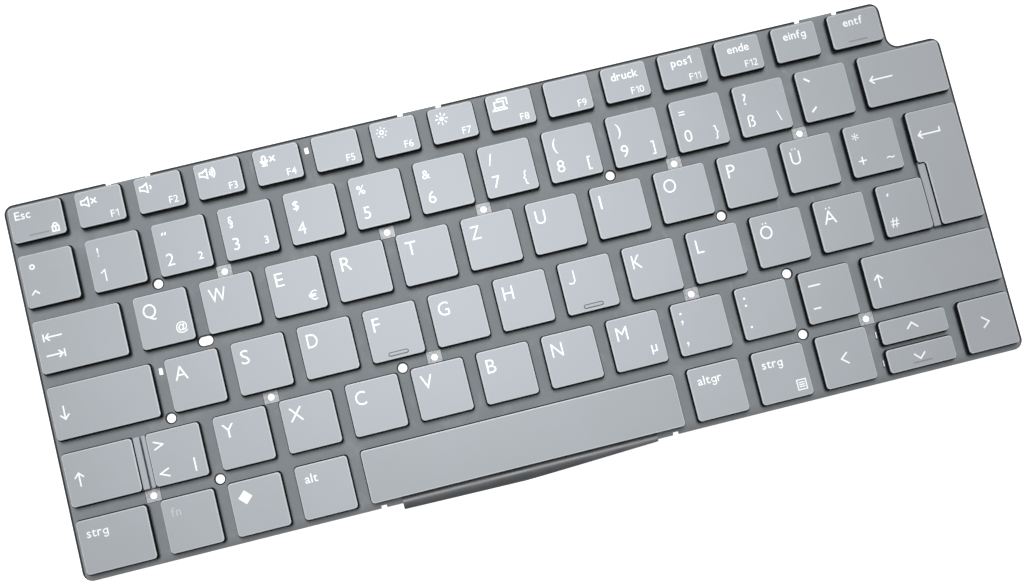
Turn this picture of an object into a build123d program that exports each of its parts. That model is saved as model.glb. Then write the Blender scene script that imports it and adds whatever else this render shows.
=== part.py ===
from build123d import *
from collections import namedtuple
from math import asin, atan2, copysign, cos, degrees, hypot, radians, sin
import os

# Laptop keyboard without a bezel: keycaps on scissor links and rubber domes, over a switch film and a plate.
# Millimetres. The origin is the middle of the plate's underside, +X runs along the rows to the right,
# +Y runs to the function row and +Z goes up through the keys.

# Key grid
PITCH = 19.05                # from key to key along a row, and from row to row
KEY_GAP = 4.05               # between neighbouring caps
STEP_GAP = 0.5               # where two caps meet closely beside a ledge
HALF_KEY_GAP = 1.7           # between the two half-depth arrow keys
ROWS = 5                     # full-depth rows, the function row apart
ROW_UNITS = 14.5             # length of a row, in pitches
FUNCTION_UNITS = 13.5        # length of the function row, in pitches
FUNCTION_GAP = 3.95          # from the number row to the function row
FUNCTION_DEPTH = 10.1        # of a function key, front to back

# Plate and switch film
EDGE_MARGIN = 2.0            # from the caps to the plate's sides and front
BACK_MARGIN = 1.7            # from the function keys to the plate's back edge
NOTCH_MARGIN = 1.5           # from the number row to the notch's edge behind it
PLATE_THICKNESS = 0.5
PLATE_CORNER = 2.8           # radius of the plate's outer corners
NOTCH_CORNER = 3.2           # radius in the corner of the notch beside the function row
FILM_THICKNESS = 0.25
FILM_INSET = 0.65            # the plate shows as a border at the film's sides and back
SCREW_HOLE = 2.6             # diameter, in the plate
SCREW_CLEARANCE = 3.7        # diameter, in the film over a screw hole
SCREW_SHIFT = 0.9            # screw holes sit off the middle of a row gap, between two caps
SLOT_LENGTH = 4.1            # of the one slotted hole that takes up tolerance, end to end
PEG_HOLE = 2.1               # diameter, in the film over a window
FILM_HOLE_SIDES = 8          # round openings of the film are cut as polygons, to stay light
WINDOW_LENGTH = 4.3          # window in the plate under a peg hole
WINDOW_DEPTH = 3.5
LAMP_SLOT_WIDTH = 1.2        # slots for the two indicator lamps
LAMP_SLOT_LENGTH = 2.0
FUNCTION_LAMP_SHIFT = 2.6    # of the lamp slot in the function row, behind the row's middle
CAPS_LAMP_SHIFT = 5.0        # of the lamp slot beside the caps lock key, behind the row's middle
NICK_WIDTH = 1.6             # relief nicks beside the edge tabs
NICK_DEPTH = 0.8
BACK_TAB = 11.4              # from nick to nick, at the back edge
BACK_TAB_DROP = 0.6          # one back tab is cut back by this much
FRONT_TAB = 85.5             # from nick to nick, at the front edge

# Keycaps
CAP_HEIGHT = 1.75
CAP_CORNER = 1.0             # corner radius, seen from above
CORNER_FLATS = 3             # flats that round a corner, so that eighty caps stay light
CAP_WALL = 0.8
CAP_ROOF = 0.8
TRAVEL = 1.3                 # of a key
PRESS_CLEARANCE = 0.2        # from a pressed cap to the film
LEDGE_DROP = 0.9             # ledges lie this far below the cap's top
SHIFT_LEDGE = 2.05           # width of the ledge on the left shift key
ENTER_LEDGE = 2.35           # width of the ledge on the enter key

# Rubber domes and scissor links
DOME_BASE = 4.8
DOME_TOP = 2.6
DOME_SIDES = 6               # few sides, because there is one dome for each key
LINK_LENGTH = 9.0
LINK_BAR = 0.8               # width of a link's bars
LINK_THICKNESS = 0.7
LINK_PLAY = 0.2              # between the arms of the two links of a key
DOME_PLAY = 0.3              # between a dome and the links round it
WALL_PLAY = 0.05             # between the ends of a link and the cap's wall
SEAT_PLAY = 0.02             # between a link and what it bears on

# Stabiliser wire of the space key
WIRE = 0.6                   # diameter
WIRE_SPAN = 78.0             # between the arms
WIRE_ARM = 5.0
WIRE_PIN = 2.2               # bent-in ends that turn in the plate's hooks
WIRE_PLAY = 0.05             # round the pins
WIRE_SETBACK = 1.5           # from the wire's bar to the back wall of the space key
HOOK_WIDTH = 1.4
HOOK_THICKNESS = 0.3
CLIP_SPACING = 50.0          # between the two clips that hold the wire's bar under the space key
CLIP_LENGTH = 3.0
CLIP_DEPTH = 0.8
CLIP_WALL = 0.5
CLIP_PLAY = 0.4              # the bar shifts in its clips while the wire turns

# Film flap that rolls over the front edge under the space key
FLAP_LENGTH = 74.6
FLAP_THICKNESS = 0.25
FLAP_GAP = 0.15              # from the space key to the flap
FLAP_CREST = 0.55            # rise of the flap's arch above its seat on the film
FLAP_REACH = [1.75, 2.3, 0.55]   # past the plate's edge, at the left end, the kink and the right end
FLAP_KINK = 0.48             # place of the kink along the flap
FLAP_FOOT = 0.05             # from the flap's free edge to the ground

# Levels
film_top = PLATE_THICKNESS + FILM_THICKNESS
cap_bottom = film_top + PRESS_CLEARANCE + TRAVEL
cap_top = cap_bottom + CAP_HEIGHT
roof_under = cap_top - CAP_ROOF

# Plan sizes
cap_side = PITCH - KEY_GAP
half_depth = (cap_side - HALF_KEY_GAP) / 2
rows_length = ROW_UNITS * PITCH - KEY_GAP
rows_depth = ROWS * PITCH - KEY_GAP
function_length = FUNCTION_UNITS * PITCH
plate_length = rows_length + 2 * EDGE_MARGIN
plate_depth = EDGE_MARGIN + rows_depth + FUNCTION_GAP + FUNCTION_DEPTH + BACK_MARGIN
notch_length = rows_length - function_length
notch_depth = plate_depth - EDGE_MARGIN - rows_depth - NOTCH_MARGIN
left = EDGE_MARGIN - plate_length / 2
front = EDGE_MARGIN - plate_depth / 2
inner_link = DOME_BASE + 2 * DOME_PLAY + 2 * LINK_BAR
outer_link = inner_link + 2 * LINK_PLAY + 2 * LINK_BAR
angle_ledge = KEY_GAP - STEP_GAP - SHIFT_LEDGE

BASE = (Align.CENTER, Align.CENTER, Align.MIN)
ROOF = (Align.CENTER, Align.CENTER, Align.MAX)
Key = namedtuple("Key", "name x y width depth")


# Places of the keys
def row_y(row):
    """Middle of a row, counted from the front."""
    return front + row * PITCH + cap_side / 2


def row_of_keys(row, places):
    """Full-depth keys of one row from the left, each place a name and a width in pitches."""
    keys = []
    start = left
    for name, units in places:
        gap = STEP_GAP if name == "hash" else KEY_GAP
        width = units * PITCH - gap
        keys.append(Key(name, start + width / 2, row_y(row), width, cap_side))
        start += units * PITCH
    return keys


def singles(names):
    """Places one pitch wide."""
    return [(name, 1) for name in names.split()]


def bottom_row():
    """Front row, with the up and down arrows stacked in one place."""
    places = [("control_left", 1.25), *singles("function system alt_left"), ("space", 5)]
    places += [*singles("alt_right control_right arrow_left"), ("arrow_pair", 1.25), ("arrow_right", 1)]
    keys = []
    for key in row_of_keys(0, places):
        if key.name == "arrow_pair":
            shift = (half_depth + HALF_KEY_GAP) / 2
            keys.append(key._replace(name="arrow_up", y=key.y + shift, depth=half_depth))
            keys.append(key._replace(name="arrow_down", y=key.y - shift, depth=half_depth))
        else:
            keys.append(key)
    return keys


def enter_key():
    """The enter key spans two rows at the right end."""
    right = left + rows_length
    return Key("enter", right - cap_side / 2, (row_y(2) + row_y(3)) / 2, cap_side, PITCH + cap_side)


def function_row():
    """Shallow keys along the back, between two end keys of full width."""
    names = "escape f1 f2 f3 f4 f5 f6 f7 f8 f9 f10 f11 f12 insert delete".split()
    width = (function_length - 2 * cap_side - (len(names) - 1) * KEY_GAP) / (len(names) - 2)
    y = front + rows_depth + FUNCTION_GAP + FUNCTION_DEPTH / 2
    keys = []
    start = left
    for name in names:
        wide = cap_side if name in ("escape", "delete") else width
        keys.append(Key(name, start + wide / 2, y, wide, FUNCTION_DEPTH))
        start += wide + KEY_GAP
    return keys


shift_names = "angle y x c v b n m comma full_stop hyphen"
shift_places = [("shift_left", 1.25), *singles(shift_names), ("shift_right", 2.25)]
caps_places = [("caps_lock", 1.75), *singles("a s d f g h j k l o_umlaut a_umlaut"), ("hash", 0.75)]
tab_places = [("tab", 1.5), *singles("q w e r t z u i o p u_umlaut plus")]
digit_names = "one two three four five six seven eight nine zero sharp_s acute"
number_places = [*singles("caret " + digit_names), ("backspace", 1.5)]

moving_keys = bottom_row() + row_of_keys(1, shift_places) + row_of_keys(2, caps_places)
moving_keys += row_of_keys(3, tab_places) + [enter_key()]
number_keys = row_of_keys(4, number_places)
function_keys = function_row()
space_key = next(key for key in moving_keys if key.name == "space")


# Keycaps, each made about its own middle with its rim at zero height
def cap_outline(width, depth):
    """Rectangle with its corners rounded in a few flats."""
    points = []
    for quarter in range(4):
        for step in range(CORNER_FLATS + 1):
            angle = radians(90 * (quarter + step / CORNER_FLATS))
            middle = radians(90 * (quarter + 0.5))
            x = copysign(width / 2 - CAP_CORNER, cos(middle)) + CAP_CORNER * cos(angle)
            y = copysign(depth / 2 - CAP_CORNER, sin(middle)) + CAP_CORNER * sin(angle)
            points.append((x, y))
    return Polygon(*points, align=None)


def cap_hollow(width, depth):
    """Room under a cap's roof, inside its walls."""
    return Box(width - 2 * CAP_WALL, depth - 2 * CAP_WALL, CAP_HEIGHT - CAP_ROOF, align=BASE)


def plain_cap(key):
    """Flat-topped cap, open underneath."""
    return extrude(cap_outline(key.width, key.depth), CAP_HEIGHT) - cap_hollow(key.width, key.depth)


def ledged_cap(key, ledge, side):
    """Cap with a low ledge along its right side (1) or left side (-1)."""
    step = Box(ledge + CAP_WALL, key.depth, CAP_HEIGHT - LEDGE_DROP, align=BASE)
    return plain_cap(key) + Pos(side * (key.width + ledge - CAP_WALL) / 2, 0) * step


def enter_cap(key):
    """Tall cap that is narrower in the lower row, where a ledge fills its left side."""
    narrow = key.width - ENTER_LEDGE
    upper = Pos(0, PITCH / 2) * cap_outline(key.width, key.depth - PITCH)
    lower = Pos(ENTER_LEDGE / 2, 0) * cap_outline(narrow, key.depth)
    block = extrude(upper + lower, CAP_HEIGHT) - Pos(ENTER_LEDGE / 2, 0) * cap_hollow(narrow, key.depth)
    step = Box(ENTER_LEDGE + CAP_WALL, PITCH, CAP_HEIGHT - LEDGE_DROP, align=BASE)
    return block + Pos((ENTER_LEDGE + CAP_WALL - key.width) / 2, (PITCH - key.depth) / 2) * step


def space_cap(key):
    """Long cap with two clips for the stabiliser wire under its roof."""
    cap = plain_cap(key)
    clip = Box(CLIP_LENGTH, CLIP_WALL, CLIP_DEPTH, align=ROOF)
    bar_y = wire_bar_y - key.y
    for x in (-CLIP_SPACING / 2, CLIP_SPACING / 2):
        for side in (-1, 1):
            y = bar_y + side * (WIRE / 2 + CLIP_PLAY + CLIP_WALL / 2)
            cap += Pos(x, y, CAP_HEIGHT - CAP_ROOF) * clip
    return cap


def keycap(key):
    """The cap of a key, in its place."""
    if key.name == "shift_left":
        cap = ledged_cap(key, SHIFT_LEDGE, 1)
    elif key.name == "angle":
        cap = ledged_cap(key, angle_ledge, -1)
    elif key.name == "enter":
        cap = enter_cap(key)
    elif key.name == "space":
        cap = space_cap(key)
    else:
        cap = plain_cap(key)
    return Pos(key.x, key.y, cap_bottom) * cap


# Domes and links under a key
def seat_x(key):
    """Middle of the room under a cap, which the enter key's ledge moves."""
    return key.x + ENTER_LEDGE / 2 if key.name == "enter" else key.x


def link_length(key):
    """Links of a half-depth key are cut to the room under its cap."""
    return min(LINK_LENGTH, key.depth - 2 * CAP_WALL - 2 * WALL_PLAY)


def dome(key):
    """Six-sided rubber dome from the film to the cap's roof."""
    base = min(DOME_BASE, link_length(key) - 2 * LINK_BAR - 2 * DOME_PLAY)
    top = base * DOME_TOP / DOME_BASE
    height = roof_under - film_top
    draft = atan2((base - top) / 2 * cos(radians(180 / DOME_SIDES)), height)
    foot = RegularPolygon(base / 2, DOME_SIDES)
    return Pos(seat_x(key), key.y, film_top) * extrude(foot, height, taper=degrees(draft))


def link(key, width, turn):
    """U-shaped scissor link: its cross bar lies on the film and its two arms rise to the cap's roof."""
    length = link_length(key)
    shape = Rectangle(width, length) - Pos(0, LINK_BAR) * Rectangle(width - 2 * LINK_BAR, length)
    rise = roof_under - film_top - 2 * SEAT_PLAY
    tilt = asin(rise / hypot(length, LINK_THICKNESS)) - atan2(LINK_THICKNESS, length)
    flat = extrude(shape, LINK_THICKNESS / 2, both=True)
    middle = Pos(seat_x(key), key.y, (film_top + roof_under) / 2)
    return middle * Rot(0, 0, turn) * Rot(degrees(tilt), 0, 0) * flat


# Stabiliser wire
wire_pivot_z = film_top + WIRE_PLAY + WIRE / 2
wire_bar_z = roof_under - 2 * WIRE_PLAY - WIRE / 2
wire_rise = asin((wire_bar_z - wire_pivot_z) / WIRE_ARM)
wire_bar_y = space_key.y + space_key.depth / 2 - CAP_WALL - WIRE_SETBACK
wire_pivot_y = wire_bar_y - WIRE_ARM * cos(wire_rise)
hook_x = WIRE_SPAN / 2 - WIRE_PIN / 2


def stabiliser_wire():
    """Wire bent from one length: a bar under the cap, two arms, and two pins that turn in the hooks."""
    half = WIRE_SPAN / 2
    left_end = [(WIRE_PIN - half, 0), (-half, 0), (-half, WIRE_ARM)]
    right_end = [(half, WIRE_ARM), (half, 0), (half - WIRE_PIN, 0)]
    route = Polyline(left_end + right_end)
    section = Plane(origin=route @ 0, z_dir=route % 0) * Circle(WIRE / 2)
    flat = sweep(section, path=route, transition=Transition.RIGHT)
    return Pos(space_key.x, wire_pivot_y, wire_pivot_z) * Rot(degrees(wire_rise), 0, 0) * flat


def wire_hook(x):
    """Tab bent up from the plate, with a lip over one pin of the wire."""
    lip_top = wire_pivot_z + WIRE / 2 + WIRE_PLAY + HOOK_THICKNESS
    back = wire_pivot_y - WIRE / 2 - WIRE_PLAY
    upright = Pos(x, back - HOOK_THICKNESS / 2, 0)
    upright *= Box(HOOK_WIDTH, HOOK_THICKNESS, lip_top, align=BASE)
    lip = Pos(x, (back + wire_pivot_y) / 2, lip_top)
    lip *= Box(HOOK_WIDTH, wire_pivot_y - back, HOOK_THICKNESS, align=ROOF)
    return upright + lip


# Plate and film
def gap_place(gap, units, shift=0):
    """Place in the gap behind a row, level with the gap between two keys of a row beside it."""
    x = left + units * PITCH - KEY_GAP / 2
    y = row_y(gap) + PITCH / 2
    return Pos(x, y + shift)


screw_places = [
    gap_place(3, 2, SCREW_SHIFT), gap_place(3, 9, SCREW_SHIFT),
    gap_place(2, 10.5, SCREW_SHIFT), gap_place(1, 1.75, SCREW_SHIFT),
    gap_place(1, 5.25, -SCREW_SHIFT), gap_place(1, 11.25, -SCREW_SHIFT),
    gap_place(0, 2.25), gap_place(0, 11.25),
]
slot_place = gap_place(2, 2.5, SCREW_SHIFT)
peg_places = [gap_place(3, units) for units in (3, 5.5, 7, 10, 12)]
peg_places += [gap_place(1, units) for units in (3.25, 5.75, 9.75)]
peg_places += [gap_place(0, units) for units in (1.25, 12.25)]


def function_gap_x(keys_before):
    """Middle of the gap after so many keys of the function row."""
    key = function_keys[keys_before - 1]
    return key.x + key.width / 2 + KEY_GAP / 2


lamp_places = [
    Pos(function_gap_x(5), function_keys[0].y + FUNCTION_LAMP_SHIFT),
    Pos(left + 1.75 * PITCH - KEY_GAP / 2, row_y(2) + CAPS_LAMP_SHIFT),
]


def outline(inset):
    """Board outline with its corner notch, drawn in at the sides and the back by an inset."""
    right = plate_length / 2 - inset
    back = plate_depth / 2 - inset
    shape = Rectangle(2 * right, plate_depth - inset, align=(Align.CENTER, Align.MIN))
    shape = Pos(0, -plate_depth / 2) * shape
    shape -= Pos(right, back) * Rectangle(notch_length, notch_depth, align=(Align.MAX, Align.MAX))
    notch = Vector(right - notch_length, back - notch_depth)
    corners = shape.vertices().sort_by_distance(notch)
    shape = fillet(corners[1:], PLATE_CORNER - inset)
    return fillet(shape.vertices().sort_by_distance(notch)[0], NOTCH_CORNER + inset)


back_tab_places = [Pos(function_gap_x(keys_before), plate_depth / 2) for keys_before in (2, 7, 14)]
front_tab_place = Pos(space_key.x, -plate_depth / 2)


def edge_cuts():
    """Relief nicks at both ends of each edge tab, and the first back tab cut back between its nicks."""
    cuts = [back_tab_places[0] * Rectangle(BACK_TAB, 2 * BACK_TAB_DROP)]
    nick = Rectangle(NICK_WIDTH, 2 * NICK_DEPTH)
    for side in (-1, 1):
        cuts += [place * Pos(side * BACK_TAB / 2, 0) * nick for place in back_tab_places]
        cuts.append(front_tab_place * Pos(side * FRONT_TAB / 2, 0) * nick)
    return cuts


def base_plate():
    """Stamped plate with screw holes, windows, lamp slots and the hooks of the stabiliser wire."""
    cuts = edge_cuts() + [place * Circle(SCREW_HOLE / 2) for place in screw_places]
    cuts.append(slot_place * SlotOverall(SLOT_LENGTH, SCREW_HOLE))
    cuts += [place * Rectangle(WINDOW_LENGTH, WINDOW_DEPTH) for place in peg_places]
    cuts += [place * Rectangle(LAMP_SLOT_WIDTH, LAMP_SLOT_LENGTH) for place in lamp_places]
    plate = extrude(outline(0) - cuts, PLATE_THICKNESS)
    return plate + wire_hook(space_key.x - hook_x) + wire_hook(space_key.x + hook_x)


def switch_film():
    """Switch film, flush with the plate's front edge and its back tabs, open over holes, slots and hooks."""
    tab = Rectangle(BACK_TAB, 2 * FILM_INSET, align=(Align.CENTER, Align.MAX))
    sheet = outline(FILM_INSET) + [place * tab for place in back_tab_places]
    screw_opening = RegularPolygon(SCREW_CLEARANCE / 2, FILM_HOLE_SIDES)
    slot_ends = [Pos(side * (SLOT_LENGTH - SCREW_HOLE) / 2, 0) * screw_opening for side in (-1, 1)]
    slot_opening = make_hull([edge for end in slot_ends for edge in end.edges()])
    peg_opening = RegularPolygon(PEG_HOLE / 2, FILM_HOLE_SIDES)
    cuts = edge_cuts() + [place * screw_opening for place in screw_places] + [slot_place * slot_opening]
    cuts += [place * peg_opening for place in peg_places]
    cuts += [place * Rectangle(LAMP_SLOT_WIDTH, LAMP_SLOT_LENGTH) for place in lamp_places]
    slit_y = wire_pivot_y - WIRE / 2 - WIRE_PLAY - HOOK_THICKNESS / 2
    slit = Rectangle(HOOK_WIDTH + 2 * WIRE_PLAY, HOOK_THICKNESS + 2 * WIRE_PLAY)
    cuts += [Pos(space_key.x + x, slit_y) * slit for x in (-hook_x, hook_x)]
    return Pos(0, 0, PLATE_THICKNESS) * extrude(sheet - cuts, FILM_THICKNESS)


def front_flap():
    """Film flap that arches over the front edge, its free edge cut on a slant to both sides of a kink."""
    back = space_key.y - space_key.depth / 2 - FLAP_GAP
    edge = -plate_depth / 2
    tip = edge - max(FLAP_REACH)
    middle = (back + tip) / 2
    crest = film_top + FLAP_CREST
    inner = ThreePointArc((back, film_top), (middle, crest), (tip + FLAP_THICKNESS, FLAP_FOOT))
    over = Vector(0, FLAP_THICKNESS)
    outer = ThreePointArc((back, film_top) + over, (middle, crest) + over, (tip, FLAP_FOOT))
    band = make_face([outer, Line(outer @ 1, inner @ 1), inner, Line(inner @ 0, outer @ 0)])
    start = space_key.x - FLAP_LENGTH / 2
    arch = extrude(Plane(origin=(start, 0, 0), x_dir=(0, 1, 0), z_dir=(1, 0, 0)) * band, FLAP_LENGTH)
    stations = [start, start + FLAP_KINK * FLAP_LENGTH, start + FLAP_LENGTH]
    free_edge = [(x, edge - reach) for x, reach in zip(stations, FLAP_REACH)]
    plan = Polygon((start + FLAP_LENGTH, back), (start, back), *free_edge, align=None)
    return arch & extrude(plan, cap_top)


def group(pieces):
    """Separate solids that share one file."""
    return Compound([piece.solid() for piece in pieces])


parts = {
    "base_plate": base_plate(),
    "switch_film": switch_film(),
    "rubber_domes": group(dome(key) for key in moving_keys + number_keys + function_keys),
    "scissor_outer_links": group(link(key, outer_link, 0) for key in moving_keys),
    "scissor_inner_links": group(link(key, inner_link, 180) for key in moving_keys),
    "space_stabiliser_wire": stabiliser_wire(),
    "front_film_flap": front_flap(),
    "number_row_keys": group(keycap(key) for key in number_keys),
    "function_row_keys": group(keycap(key) for key in function_keys),
}
for key in moving_keys:
    parts["key_" + key.name] = keycap(key)

os.makedirs("parts", exist_ok=True)
for name, piece in parts.items():
    export_step(piece, f"parts/{name}.step")
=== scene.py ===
from collections import namedtuple
from math import atan2, cos, hypot, pi, radians, sin

import bmesh
import bpy
from mathutils import Euler, Matrix, Vector


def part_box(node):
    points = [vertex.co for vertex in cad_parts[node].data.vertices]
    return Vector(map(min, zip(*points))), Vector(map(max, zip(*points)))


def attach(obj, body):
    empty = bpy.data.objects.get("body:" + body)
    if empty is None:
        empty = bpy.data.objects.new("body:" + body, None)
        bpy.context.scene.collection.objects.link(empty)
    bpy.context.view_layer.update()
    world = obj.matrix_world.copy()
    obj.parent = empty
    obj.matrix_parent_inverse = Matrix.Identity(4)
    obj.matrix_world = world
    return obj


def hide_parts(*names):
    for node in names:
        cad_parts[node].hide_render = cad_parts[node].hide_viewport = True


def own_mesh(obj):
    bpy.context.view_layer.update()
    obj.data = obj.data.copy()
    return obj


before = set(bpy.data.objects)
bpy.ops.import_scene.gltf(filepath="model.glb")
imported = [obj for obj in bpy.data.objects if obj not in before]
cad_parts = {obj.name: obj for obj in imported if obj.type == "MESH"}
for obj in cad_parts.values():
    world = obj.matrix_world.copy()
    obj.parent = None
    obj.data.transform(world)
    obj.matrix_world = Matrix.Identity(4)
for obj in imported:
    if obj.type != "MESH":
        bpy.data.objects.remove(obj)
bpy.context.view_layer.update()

# Laptop keyboard without a bezel. The caps with their legends, the domes, the scissor links, the film's
# windows and collars and the arrow hooks are modelled here. The plate, the switch film, the front flap and
# the wire are the frame's own.

MM = 0.001
NEAR = MM / 100                   # closer than this counts as level
MERGE = MM / 1000                 # closer than this counts as the same point
scene = bpy.context.scene

# Key grid, as in the frame
PITCH = 19.05 * MM
KEY_GAP = 4.05 * MM
SHIFT_LEDGE = 2.05 * MM           # ledge at the right of the left shift key
ANGLE_LEDGE = 1.5 * MM            # ledge at the left of the angle bracket key
ENTER_LEDGE = 2.35 * MM           # ledge at the left of the enter key's lower half
ENTER_UPPER = 15.0 * MM           # depth of the enter key's wide half
STEP_SHADE_WIDTH = 0.3 * MM             # width of the dark strip at the foot of the step down to a ledge, a painted shade
STEP_SHADE_RISE = 0.08 * MM
LEDGE_DROP = 0.9 * MM

# Caps
CAP_CORNER = 1.0 * MM
CORNER_STEPS = 6
TOP_EDGE = 0.26 * MM              # rounding round the top face
TOP_EDGE_STEPS = 3
CAP_WALL = 0.8 * MM
CAP_ROOF = 0.8 * MM
CAP_FLARE = 0.35 * MM             # the walls lean out by this much at the rim, so that more of their near-black painted shade shows from above
FLAT_FACE = 0.99                  # and one that looks up this much its rim, which is lighter as a painted highlight
SLOPED_FACE = 0.3                 # and one that looks up this much its rim
PRINT_RISE = 0.012 * MM           # legends stand this far above a cap
PRINT_DEPTH = 0.03 * MM
PRINT_STEP = 0.002 * MM           # crossing lines of a sign lie this much above each other
STROKE = 0.42 * MM                # line width of the drawn signs
ARC_STEP = 20                     # degrees of a drawn arc in one step
ARC_STEPS_LEAST = 4
DOT_STEPS = 16
PILL_ROUND = 0.49                 # corner radius of a low bar against its width
PILL_STEPS = 5
LETTER_SPACE = 0.12               # between letters, against a capital's height
HOMING_LENGTH = 5.4 * MM
HOMING_WIDTH = 0.8 * MM
HOMING_RISE = 0.2 * MM
HOMING_EDGE = 0.12 * MM
HOMING_SHADOW_WIDTH = 0.22 * MM         # width of the dark ring round a homing ridge, a painted shadow
HOMING_SETBACK = 1.4 * MM         # from a cap's front edge to the middle of its homing ridge
BAR_LENGTH = 5.8 * MM             # faint bars on other caps
BAR_WIDTH = 0.45 * MM

# Mechanism
DOME_STEPS = 20
LINK_BAR = 0.8 * MM
LINK_THICKNESS = 0.7 * MM
LINK_EDGE = 0.12 * MM
PIN_RADIUS = 0.28 * MM
PIN_STEPS = 10

# Windows of the film, and hooks beside the arrow keys
WINDOW_LENGTH = 4.3 * MM
WINDOW_DEPTH = 3.5 * MM
WINDOW_LINE = 0.14 * MM           # width of the dark line round a window
PEG_HOLE = 2.1 * MM
FRONT_PAINTED_SHADOW = 3.0 * MM            # painted shadow: the film's colour darkens this far from its front edge, in front of the front row of caps
FRONT_EDGE_SHARE = 0.6                 # share of its colour that is left at the edge
FLAP_PAINTED_SHADE = 3.2 * MM             # painted shade: the flap's colour darkens this far from its free edge, where the film curls down
FLAP_EDGE_SHARE = 0.12
PATCH_THICKNESS = 0.02 * MM
SLOT_LENGTH = 4.1 * MM
SCREW_HOLE = 2.6 * MM
COLLAR_GAP = 0.4 * MM             # of plate that shows between a screw hole and the film's collar
COLLAR_WIDTH = 0.3 * MM
COLLAR_STEPS = 32
SCREW_SHIFT = 0.9 * MM
ARROW_HOOK = (0.35 * MM, 1.9 * MM, 0.9 * MM)
ARROW_HOOK_GAP = 0.55 * MM        # from a hook to the cap beside it
# Windows behind each row, counted from the bottom row, by their pitches from the left
WINDOW_GAPS = {3: (3, 5.5, 7, 10, 12), 1: (3.25, 5.75, 9.75), 0: (1.25, 12.25)}
# Screw holes and the slot: the row, the pitches, and the way they are shifted from the middle of the gap
SCREW_GAPS = [
    (3, 2, 1), (3, 9, 1), (2, 10.5, 1), (1, 1.75, 1), (1, 5.25, -1), (1, 11.25, -1), (0, 2.25, 0),
    (0, 11.25, 0),
]
SLOT_GAP = (2, 2.5, 1)


# Helpers for meshes
def finish_piece(bm, name, materials, body, slot, *nodes):
    """Makes a piece from a mesh in progress. It rides on a body and may stand for nodes of the frame."""
    mesh = bpy.data.meshes.new(name)
    bm.to_mesh(mesh)
    bm.free()
    for material in materials:
        mesh.materials.append(material)
    piece = bpy.data.objects.new(name, mesh)
    scene.collection.objects.link(piece)
    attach(piece, body)
    if nodes:
        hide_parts(*nodes)
    return piece


def paint(verts, material):
    """Gives the faces round some vertices a material."""
    for face in {f for v in verts for f in v.link_faces}:
        face.material_index = material


def join_part(bm, part):
    """Adds a part that was shaped by itself to a mesh in progress."""
    mesh = bpy.data.meshes.new("part")
    part.to_mesh(mesh)
    part.free()
    bm.from_mesh(mesh)
    bpy.data.meshes.remove(mesh)


def add_block(bm, low, high, material=0, edge=0.0):
    """Box between two corners, with its edges rounded a little where an edge size is given."""
    size = high - low
    place = Matrix.Translation((low + high) / 2) @ Matrix.Diagonal((*size, 1))
    verts = bmesh.ops.create_cube(bm, size=1, matrix=place)["verts"]
    if edge:
        edges = list({e for v in verts for e in v.link_edges})
        verts = bmesh.ops.bevel(
            bm, geom=edges, offset=edge, affect="EDGES", segments=2, profile=0.5, material=-1
        )["verts"]
    paint(verts, material)


def solid_boxes(node):
    """Lowest and highest corner of each separate solid in a node, from left to right."""
    bm = bmesh.new()
    bm.from_mesh(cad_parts[node].data)
    bmesh.ops.remove_doubles(bm, verts=bm.verts, dist=MERGE)
    boxes = []
    waiting = set(bm.verts)
    while waiting:
        solid = set()
        edge_of_search = {waiting.pop()}
        while edge_of_search:
            solid |= edge_of_search
            near = {e.other_vert(v) for v in edge_of_search for e in v.link_edges}
            edge_of_search = near - solid
        waiting -= solid
        low = Vector([min(v.co[i] for v in solid) for i in range(3)])
        high = Vector([max(v.co[i] for v in solid) for i in range(3)])
        boxes.append((low, high))
    bm.free()
    return sorted(boxes, key=lambda box: box[0].x)


# Helpers for node trees
def add_node(tree, kind, inputs=None, **settings):
    """Adds a shader node. An input is a value or the output that feeds it."""
    made = tree.nodes.new("ShaderNode" + kind)
    for name, value in settings.items():
        setattr(made, name, value)
    for name, value in (inputs or {}).items():
        if isinstance(value, bpy.types.NodeSocket):
            tree.links.new(value, made.inputs[name])
        else:
            made.inputs[name].default_value = value
    return made


def mix_colours(tree, factor, first, second, **settings):
    """Output of a mix of two colours by a factor."""
    inputs = {"Factor": factor, "A": first, "B": second}
    return add_node(tree, "Mix", inputs, data_type="RGBA", **settings).outputs["Result"]


def graded(tree, value, low, high, first=0.0, last=1.0):
    """Output that goes from a first to a last value while the given one goes between two limits."""
    inputs = {"Value": value, "From Min": low, "From Max": high, "To Min": first, "To Max": last}
    return add_node(tree, "MapRange", inputs).outputs["Result"]


def combined(tree, first, second, operation):
    """Output of a sum on two values."""
    return add_node(tree, "Math", {0: first, 1: second}, operation=operation).outputs[0]


def bumped(tree, strength, depth, height):
    """Output of a relief of some depth."""
    inputs = {"Strength": strength, "Distance": depth, "Height": height}
    return add_node(tree, "Bump", inputs).outputs["Normal"]


def feed(tree, end, sources):
    """Links outputs to the sockets of a shader or of a group's end."""
    for socket, source in sources.items():
        tree.links.new(source, end.inputs[socket])


def new_group(name, inputs, outputs):
    """Empty node group with number inputs and outputs, and its two end nodes."""
    group = bpy.data.node_groups.new(name, "ShaderNodeTree")
    for socket, value in inputs.items():
        made = group.interface.new_socket(socket, in_out="INPUT", socket_type="NodeSocketFloat")
        made.default_value = value
    for socket in outputs:
        group.interface.new_socket(socket, in_out="OUTPUT", socket_type="NodeSocketFloat")
    return group, group.nodes.new("NodeGroupInput"), group.nodes.new("NodeGroupOutput")


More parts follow.
